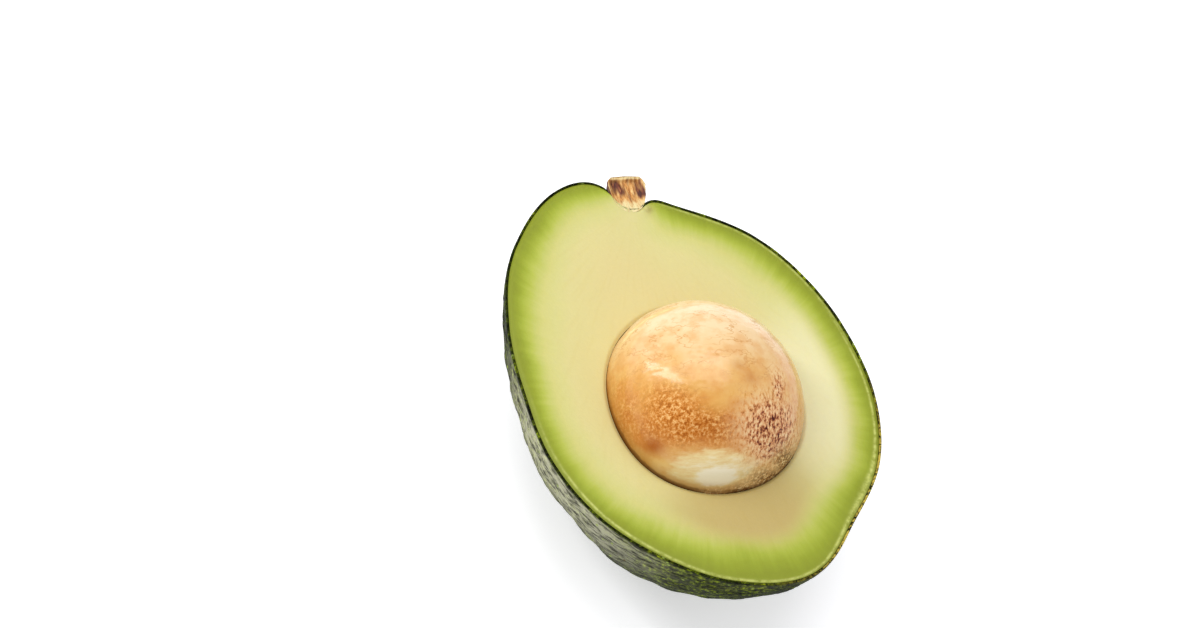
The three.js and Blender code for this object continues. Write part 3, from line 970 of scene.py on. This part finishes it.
def build_seed(settings):
    """Seed: an ellipsoid with a low swelling, long low wrinkles over its upper end, and a ragged tip of
    coat at its lower end. Its markings are placed from the middle of the side the camera sees, as
    shares of its radius across and up."""
    ring_count = 240
    turn = np.arange(settings.columns) * TURN / settings.columns
    rise = np.linspace(math.pi / 2, -math.pi / 2, ring_count + 2)[1:-1, None]
    rings = seed_points(turn[None], rise, 0)
    ray = direction(turn[None], rise)
    axes = np.array(camera_axes())
    across, height, facing = np.moveaxis(ray @ axes.T, -1, 0)
    upright = rings @ axes.T
    near_side = smoothstep(facing, -0.1, 0.25)

    def patch(x, y, half_width, half_height, sharpness=2):
        """1 at a place on the near side, falling off to 0 over a half-width and a half-height."""
        away = ((across - x) / half_width) ** 2 + ((height - y) / half_height) ** 2
        return np.exp(-(away ** (sharpness / 2))) * near_side

    # Broad unevenness, folds in two sizes that are strongest on the upper end, and the ragged tip
    broad = 0.5 + 0.5 * ripple(rings, 8, seed=5)
    folds = ripple(upright * np.array([0.45, 1, 0.6]), 2.6, seed=12, count=36)
    folds = folds + 0.5 * ripple(upright * np.array([0.6, 1, 0.8]), 1.3, seed=14, count=40)
    upper = smoothstep(height + 0.25 * np.clip(ripple(rings, 9, seed=6), -1, 1), -0.15, 0.35)
    lift = 0.12 * np.clip(broad, 0, 1) + 0.035 * (0.3 + 0.7 * upper) * folds + 0.06
    ragged = 0.5 + 0.5 * ripple(upright * np.array([1, 0.5, 1]), 1.0, seed=17, count=36)
    tip = patch(0.07, -0.87, 0.13, 0.09)
    lift = lift + 0.9 * tip * np.clip(ragged, 0, 1)
    rings = rings + ray * lift[..., None]

    # Grainy belt in three patches, and more of it on the far side
    mottle = 0.5 + 0.5 * smoothstep(ripple(rings, 7, seed=31), -0.5, 0.4)
    belt = patch(-0.05, -0.19, 0.55, 0.17, 3) * mottle + 0.8 * patch(-0.3, 0.02, 0.26, 0.2, 3)
    belt = np.maximum(belt, 0.45 * patch(-0.72, -0.08, 0.22, 0.34, 3) * mottle)
    far_belt = 0.5 * smoothstep(-facing, 0.0, 0.3) * smoothstep(ripple(rings, 9, seed=33), -0.2, 0.5)

    # Dark flecks on the right, and rust: its main spot, a faint wash and two small spots
    dark = np.maximum(patch(0.65, -0.2, 0.3, 0.36, 2.5), 0.8 * patch(0.74, 0.17, 0.08, 0.22))
    rust = (0.85 * patch(-0.46, -0.37, 0.1, 0.08) + 0.3 * patch(0, -0.22, 0.35, 0.1)
            + 0.3 * patch(0.36, 0.4, 0.07, 0.05) + 0.35 * patch(0.47, 0.29, 0.06, 0.08))

    # Bare at the lower end, and a painted highlight in a thin crescent along the upper left edge
    upper_left_highlight = near(np.arctan2(height, across), 126, 24, 4) * near_side
    bare = np.maximum.reduce([
        patch(0.12, -0.64, 0.26, 0.12, 3),
        0.56 * patch(0.1, -0.58, 0.48, 0.2, 4),
        0.5 * upper_left_highlight * falloff(np.hypot(across, height) - 0.958, 0.018),
    ])

    # Crumbs, and where the seed meets the flesh on its lower side a golden-brown edge, partly stain and
    # partly painted shade, and a dark line of painted crevice shade
    crumbs = np.maximum.reduce([
        patch(0.64, -0.69, 0.2, 0.1),
        patch(0.8, -0.52, 0.12, 0.14),
        patch(0.42, -0.82, 0.2, 0.08),
        tip,
    ])
    heading = heading_of(rings)
    above_cut = rings[..., 2] + 0.15 * ripple(rings, 1.2, seed=35)
    shaded_lower_side = near(heading, 222, 62, 4)
    return surface_object("seed_coat", rings[0].mean(0), rings, rings[-1].mean(0), {
        "towards_crown": height,
        "coat_grain": upright * np.array([1, 0.5, 1]) * MM,
        "crease": upper * smoothstep(ripple(rings, 5, seed=9), -0.6, 0.6) * 0.9,
        "belt": np.clip(np.maximum(belt, far_belt), 0, 1),
        "dark_patch": dark,
        "rust": np.clip(rust, 0, 1),
        "bare_end_and_highlight": bare,
        "rim_crumbs": crumbs,
        "stain_and_shade_edge": 0.6 * shaded_lower_side * (1 - smoothstep(above_cut, 0, 3.2)),
        "crevice_shade_line": 0.75 * shaded_lower_side * (1 - tip) * (1 - smoothstep(above_cut, 0.1, 0.5)),
    })


def build_stem(settings):
    """Stem stub: half of a flared, fluted round stem. Each ring goes round the bark below the cut and
    back across the torn cut face, which sinks inside a raised edge of bark and has standing fibres.
    Below its foot a tuft of fibres narrows down into the flesh."""
    across, along = stem_axes()
    ring_count = 110
    columns = settings.columns
    arc_columns = columns // 2
    arc = np.linspace(0, math.pi, arc_columns, endpoint=False)
    chord = np.linspace(-1, 1, columns - arc_columns, endpoint=False)
    sideways = np.concatenate([np.cos(arc), chord])
    down = np.concatenate([np.sin(arc), np.zeros_like(chord)])
    on_face = np.concatenate([np.zeros_like(arc), 1 - chord ** 2])[None]

    # Rings are spaced evenly along the profile, in which the tuft takes the place of the solid's foot
    tuft = [[0, -1.2], [1.3, -0.9], [2.2, -0.3], [2.8, 0.4], [3.4, 1.5], [3.8, 2.8]]
    profile = np.concatenate([tuft, STEM_PROFILE[4:]])
    reach = np.concatenate([[0], np.cumsum(np.hypot(*np.diff(profile, axis=0).T))])
    place = np.linspace(0, reach[-1], ring_count + 2)[1:-1]
    radius = np.interp(place, reach, profile[:, 0])[:, None]
    height = np.interp(place, reach, profile[:, 1])[:, None]
    angle = np.arctan2(down, sideways)[None]
    flutes = 9
    flute = 1 - 0.05 * (1 + np.cos(flutes * angle + 0.5 * height)) / 2 * (1 - on_face)
    x = sideways * radius * flute
    z = -down * radius * flute
    y = np.broadcast_to(height, x.shape)

    # The torn face: hollow between the edges, with standing fibres
    grain = np.stack([x, y * 0.22, z], -1)
    torn = ripple(grain, 0.8, seed=41, count=36)
    edge = smoothstep(np.abs(x) / 3.6, 0.72, 0.95) + smoothstep(y, 6.3, 7)
    hollow = smoothstep(on_face, 0, 0.3) * (1 - 0.8 * np.clip(edge, 0, 1)) * smoothstep(y, -0.5, 3.5)
    rings = x[..., None] * across + y[..., None] * along
    rings[..., 2] = z - hollow * 0.7 + on_face * smoothstep(radius, 0.3, 1.5) * (0.14 * torn - 0.12)
    rings[..., :2] += STEM_FOOT

    # The bark is a little rough
    rough = 0.08 * ripple(rings, 1.1, seed=43) - 0.05
    outward = sideways * across[:, None] + down * np.array([[0], [0], [-1]])
    rings = rings + (rough * (1 - on_face))[..., None] * outward.T

    # Bark folds over onto the face on both sides, a highlight is painted in pale along the face's edge,
    # and the foot is pale
    over_left = np.exp(-(((x + 2.1) / 1.6) ** 4 + ((y - 5.1) / 1.6) ** 4))
    over_right = np.exp(-(((x - 2.9) / 0.9) ** 4 + ((y - 4.6) / 2.3) ** 4))
    bark = np.where(on_face > 0, np.maximum(over_left, over_right), 1)
    bark = np.clip(bark + 0.5 * torn * (on_face > 0), 0, 1) * smoothstep(y + 0.8 * torn, 0.6, 2.2)
    foot = 1 - smoothstep(y + 0.9 * torn, 0.4, 2.4)
    edge_highlight = smoothstep(np.maximum(np.abs(x) / 3.9, (y - 1) / 6.1), 0.93, 1.0) * (on_face > 0)
    middle = np.append(STEM_FOOT, -0.1)
    first = middle + along * profile[0, 1]
    last = middle + along * profile[-1, 1]

    # Columns are taken backwards, so that the faces point outwards
    return surface_object("stem_bark", first, rings[:, ::-1], last, {
        "bark": bark[:, ::-1],
        "foot": np.clip(np.maximum(foot, 0.8 * edge_highlight), 0, 1)[:, ::-1],
        "stem_grain": grain[:, ::-1] * MM,
    })


# Stage

def make_floor(scene, settings):
    """Level square floor far larger than the view."""
    half = 3.0
    mesh = bpy.data.meshes.new("floor")
    corners = [(-half, -half, 0), (half, -half, 0), (half, half, 0), (-half, half, 0)]
    mesh.from_pydata(corners, [], [(0, 1, 2, 3)])
    floor = bpy.data.objects.new("floor", mesh)
    scene.collection.objects.link(floor)
    mesh.materials.append(floor_material(settings))


def add_softbox(scene, name, power, way, distance, long_side, size):
    """Rectangular area light that faces the middle of the cut face from a way and a distance. Its first
    side runs as nearly along the long side's direction as it can."""
    lamp = bpy.data.lights.new(name, "AREA")
    lamp.shape = "RECTANGLE"
    lamp.size, lamp.size_y = size
    lamp.energy = power
    box = bpy.data.objects.new(name, lamp)
    way = Vector(way).normalized()
    side = Vector(long_side)
    side = (side - side.dot(way) * way).normalized()
    turn = Matrix((side, way.cross(side), way)).transposed()
    middle = Vector((0, 0, FACE_HEIGHT * MM))
    box.matrix_world = Matrix.Translation(middle + way * distance) @ turn.to_4x4()
    scene.collection.objects.link(box)


def make_lights(scene, settings):
    """Even white surroundings and two softboxes: a long narrow one from the picture's upper left round
    to the front, whose glint runs down across the seed, and a wide one over the stem end."""
    world = bpy.data.worlds.new("studio")
    scene.world = world
    world.use_nodes = True
    background = world.node_tree.nodes["Background"]
    background.inputs["Color"].default_value = (*linear("#fbfbff"), 1)
    background.inputs["Strength"].default_value = settings.sky_strength
    right, up, back = camera_axes()
    add_softbox(
        scene, "key_softbox", settings.key_power, way=-0.573 * right + 0.613 * up + 0.544 * back,
        distance=0.9, long_side=0.6 * right - 0.08 * up + 0.8 * back, size=(0.78, 0.06),
    )
    add_softbox(
        scene, "top_softbox", settings.top_power, way=0.15 * right + 0.62 * up + 0.6 * back,
        distance=1.2, long_side=right, size=(0.9, 0.7),
    )


def make_camera(scene):
    """Camera on the photograph's line of sight to the seed, turned so that the seed's centre falls on
    its place in the picture. Its axis passes the seed by the offset of that place from the middle."""
    right, up, back = (Vector(axis) for axis in camera_axes())
    seed_centre = Vector((0, 0, FACE_HEIGHT * MM))
    across = (SEED_PIXEL[0] - PICTURE_SIZE[0] / 2) / CAMERA_FOCAL_PIXELS
    below = (SEED_PIXEL[1] - PICTURE_SIZE[1] / 2) / CAMERA_FOCAL_PIXELS
    forward = (-back - across * right + below * up).normalized()
    up = (up - up.dot(forward) * forward).normalized()
    data = bpy.data.cameras.new("camera")
    data.sensor_width = SENSOR_WIDTH
    data.lens = CAMERA_FOCAL_PIXELS / PICTURE_SIZE[0] * SENSOR_WIDTH
    data.dof.use_dof = False
    camera = bpy.data.objects.new("camera", data)
    turn = Matrix((forward.cross(up), up, -forward)).transposed()
    camera.matrix_world = Matrix.Translation(seed_centre + back * CAMERA_DISTANCE) @ turn.to_4x4()
    scene.collection.objects.link(camera)
    scene.camera = camera
    scene.view_settings.view_transform = "Standard"


# Operators and panel

class AVOCADO_OT_flesh(bpy.types.Operator):
    """Build the cut flesh with the seed's cavity"""
    bl_idname = "avocado.flesh"
    bl_label = "Flesh"

    def execute(self, context):
        settings = context.scene.avocado_flesh
        piece = build_flesh(settings, context.scene.avocado_skin)
        finish_piece(piece, flesh_material(settings), "avocado_half")
        return {"FINISHED"}


class AVOCADO_OT_skin(bpy.types.Operator):
    """Build the thin pebbled skin round the flesh"""
    bl_idname = "avocado.skin"
    bl_label = "Skin"

    def execute(self, context):
        settings = context.scene.avocado_skin
        finish_piece(build_skin(settings), skin_material(settings), "avocado_half")
        return {"FINISHED"}


class AVOCADO_OT_seed(bpy.types.Operator):
    """Build the seed with its coat"""
    bl_idname = "avocado.seed"
    bl_label = "Seed"

    def execute(self, context):
        settings = context.scene.avocado_seed
        finish_piece(build_seed(settings), seed_material(settings), "seed")
        return {"FINISHED"}


class AVOCADO_OT_stem(bpy.types.Operator):
    """Build the half stem stub"""
    bl_idname = "avocado.stem"
    bl_label = "Stem stub"

    def execute(self, context):
        settings = context.scene.avocado_stem
        finish_piece(build_stem(settings), stem_material(settings), "stem_stub")
        return {"FINISHED"}


class AVOCADO_OT_stage(bpy.types.Operator):
    """Set up the floor, the softboxes and the camera"""
    bl_idname = "avocado.stage"
    bl_label = "Stage"

    def execute(self, context):
        settings = context.scene.avocado_stage
        make_floor(context.scene, settings)
        make_lights(context.scene, settings)
        make_camera(context.scene)
        return {"FINISHED"}


class AVOCADO_PT_panel(bpy.types.Panel):
    """Settings and build steps of the halved avocado"""
    bl_idname = "AVOCADO_PT_panel"
    bl_label = "Halved Avocado"
    bl_space_type = "VIEW_3D"
    bl_region_type = "UI"
    bl_category = "Avocado"

    def draw(self, context):
        for key in SETTINGS:
            box = self.layout.box()
            settings = getattr(context.scene, "avocado_" + key)
            for name in settings.__annotations__:
                box.prop(settings, name)
            box.operator("avocado." + key)


SETTINGS = {
    "flesh": FleshSettings,
    "skin": SkinSettings,
    "seed": SeedSettings,
    "stem": StemSettings,
    "stage": StageSettings,
}
CLASSES = (
    *SETTINGS.values(),
    AVOCADO_OT_flesh,
    AVOCADO_OT_skin,
    AVOCADO_OT_seed,
    AVOCADO_OT_stem,
    AVOCADO_OT_stage,
    AVOCADO_PT_panel,
)


def register():
    """Registers the classes and hangs each group of settings on the scene."""
    for each in CLASSES:
        bpy.utils.register_class(each)
    for key, group in SETTINGS.items():
        setattr(bpy.types.Scene, "avocado_" + key, bpy.props.PointerProperty(type=group))


def unregister():
    """Takes away what register added."""
    for key in SETTINGS:
        delattr(bpy.types.Scene, "avocado_" + key)
    for each in reversed(CLASSES):
        bpy.utils.unregister_class(each)


def main():
    """Builds the stage and every piece."""
    register()
    for key in ("stage", "flesh", "skin", "seed", "stem"):
        getattr(bpy.ops.avocado, key)()


if __name__ == "__main__":
    main()
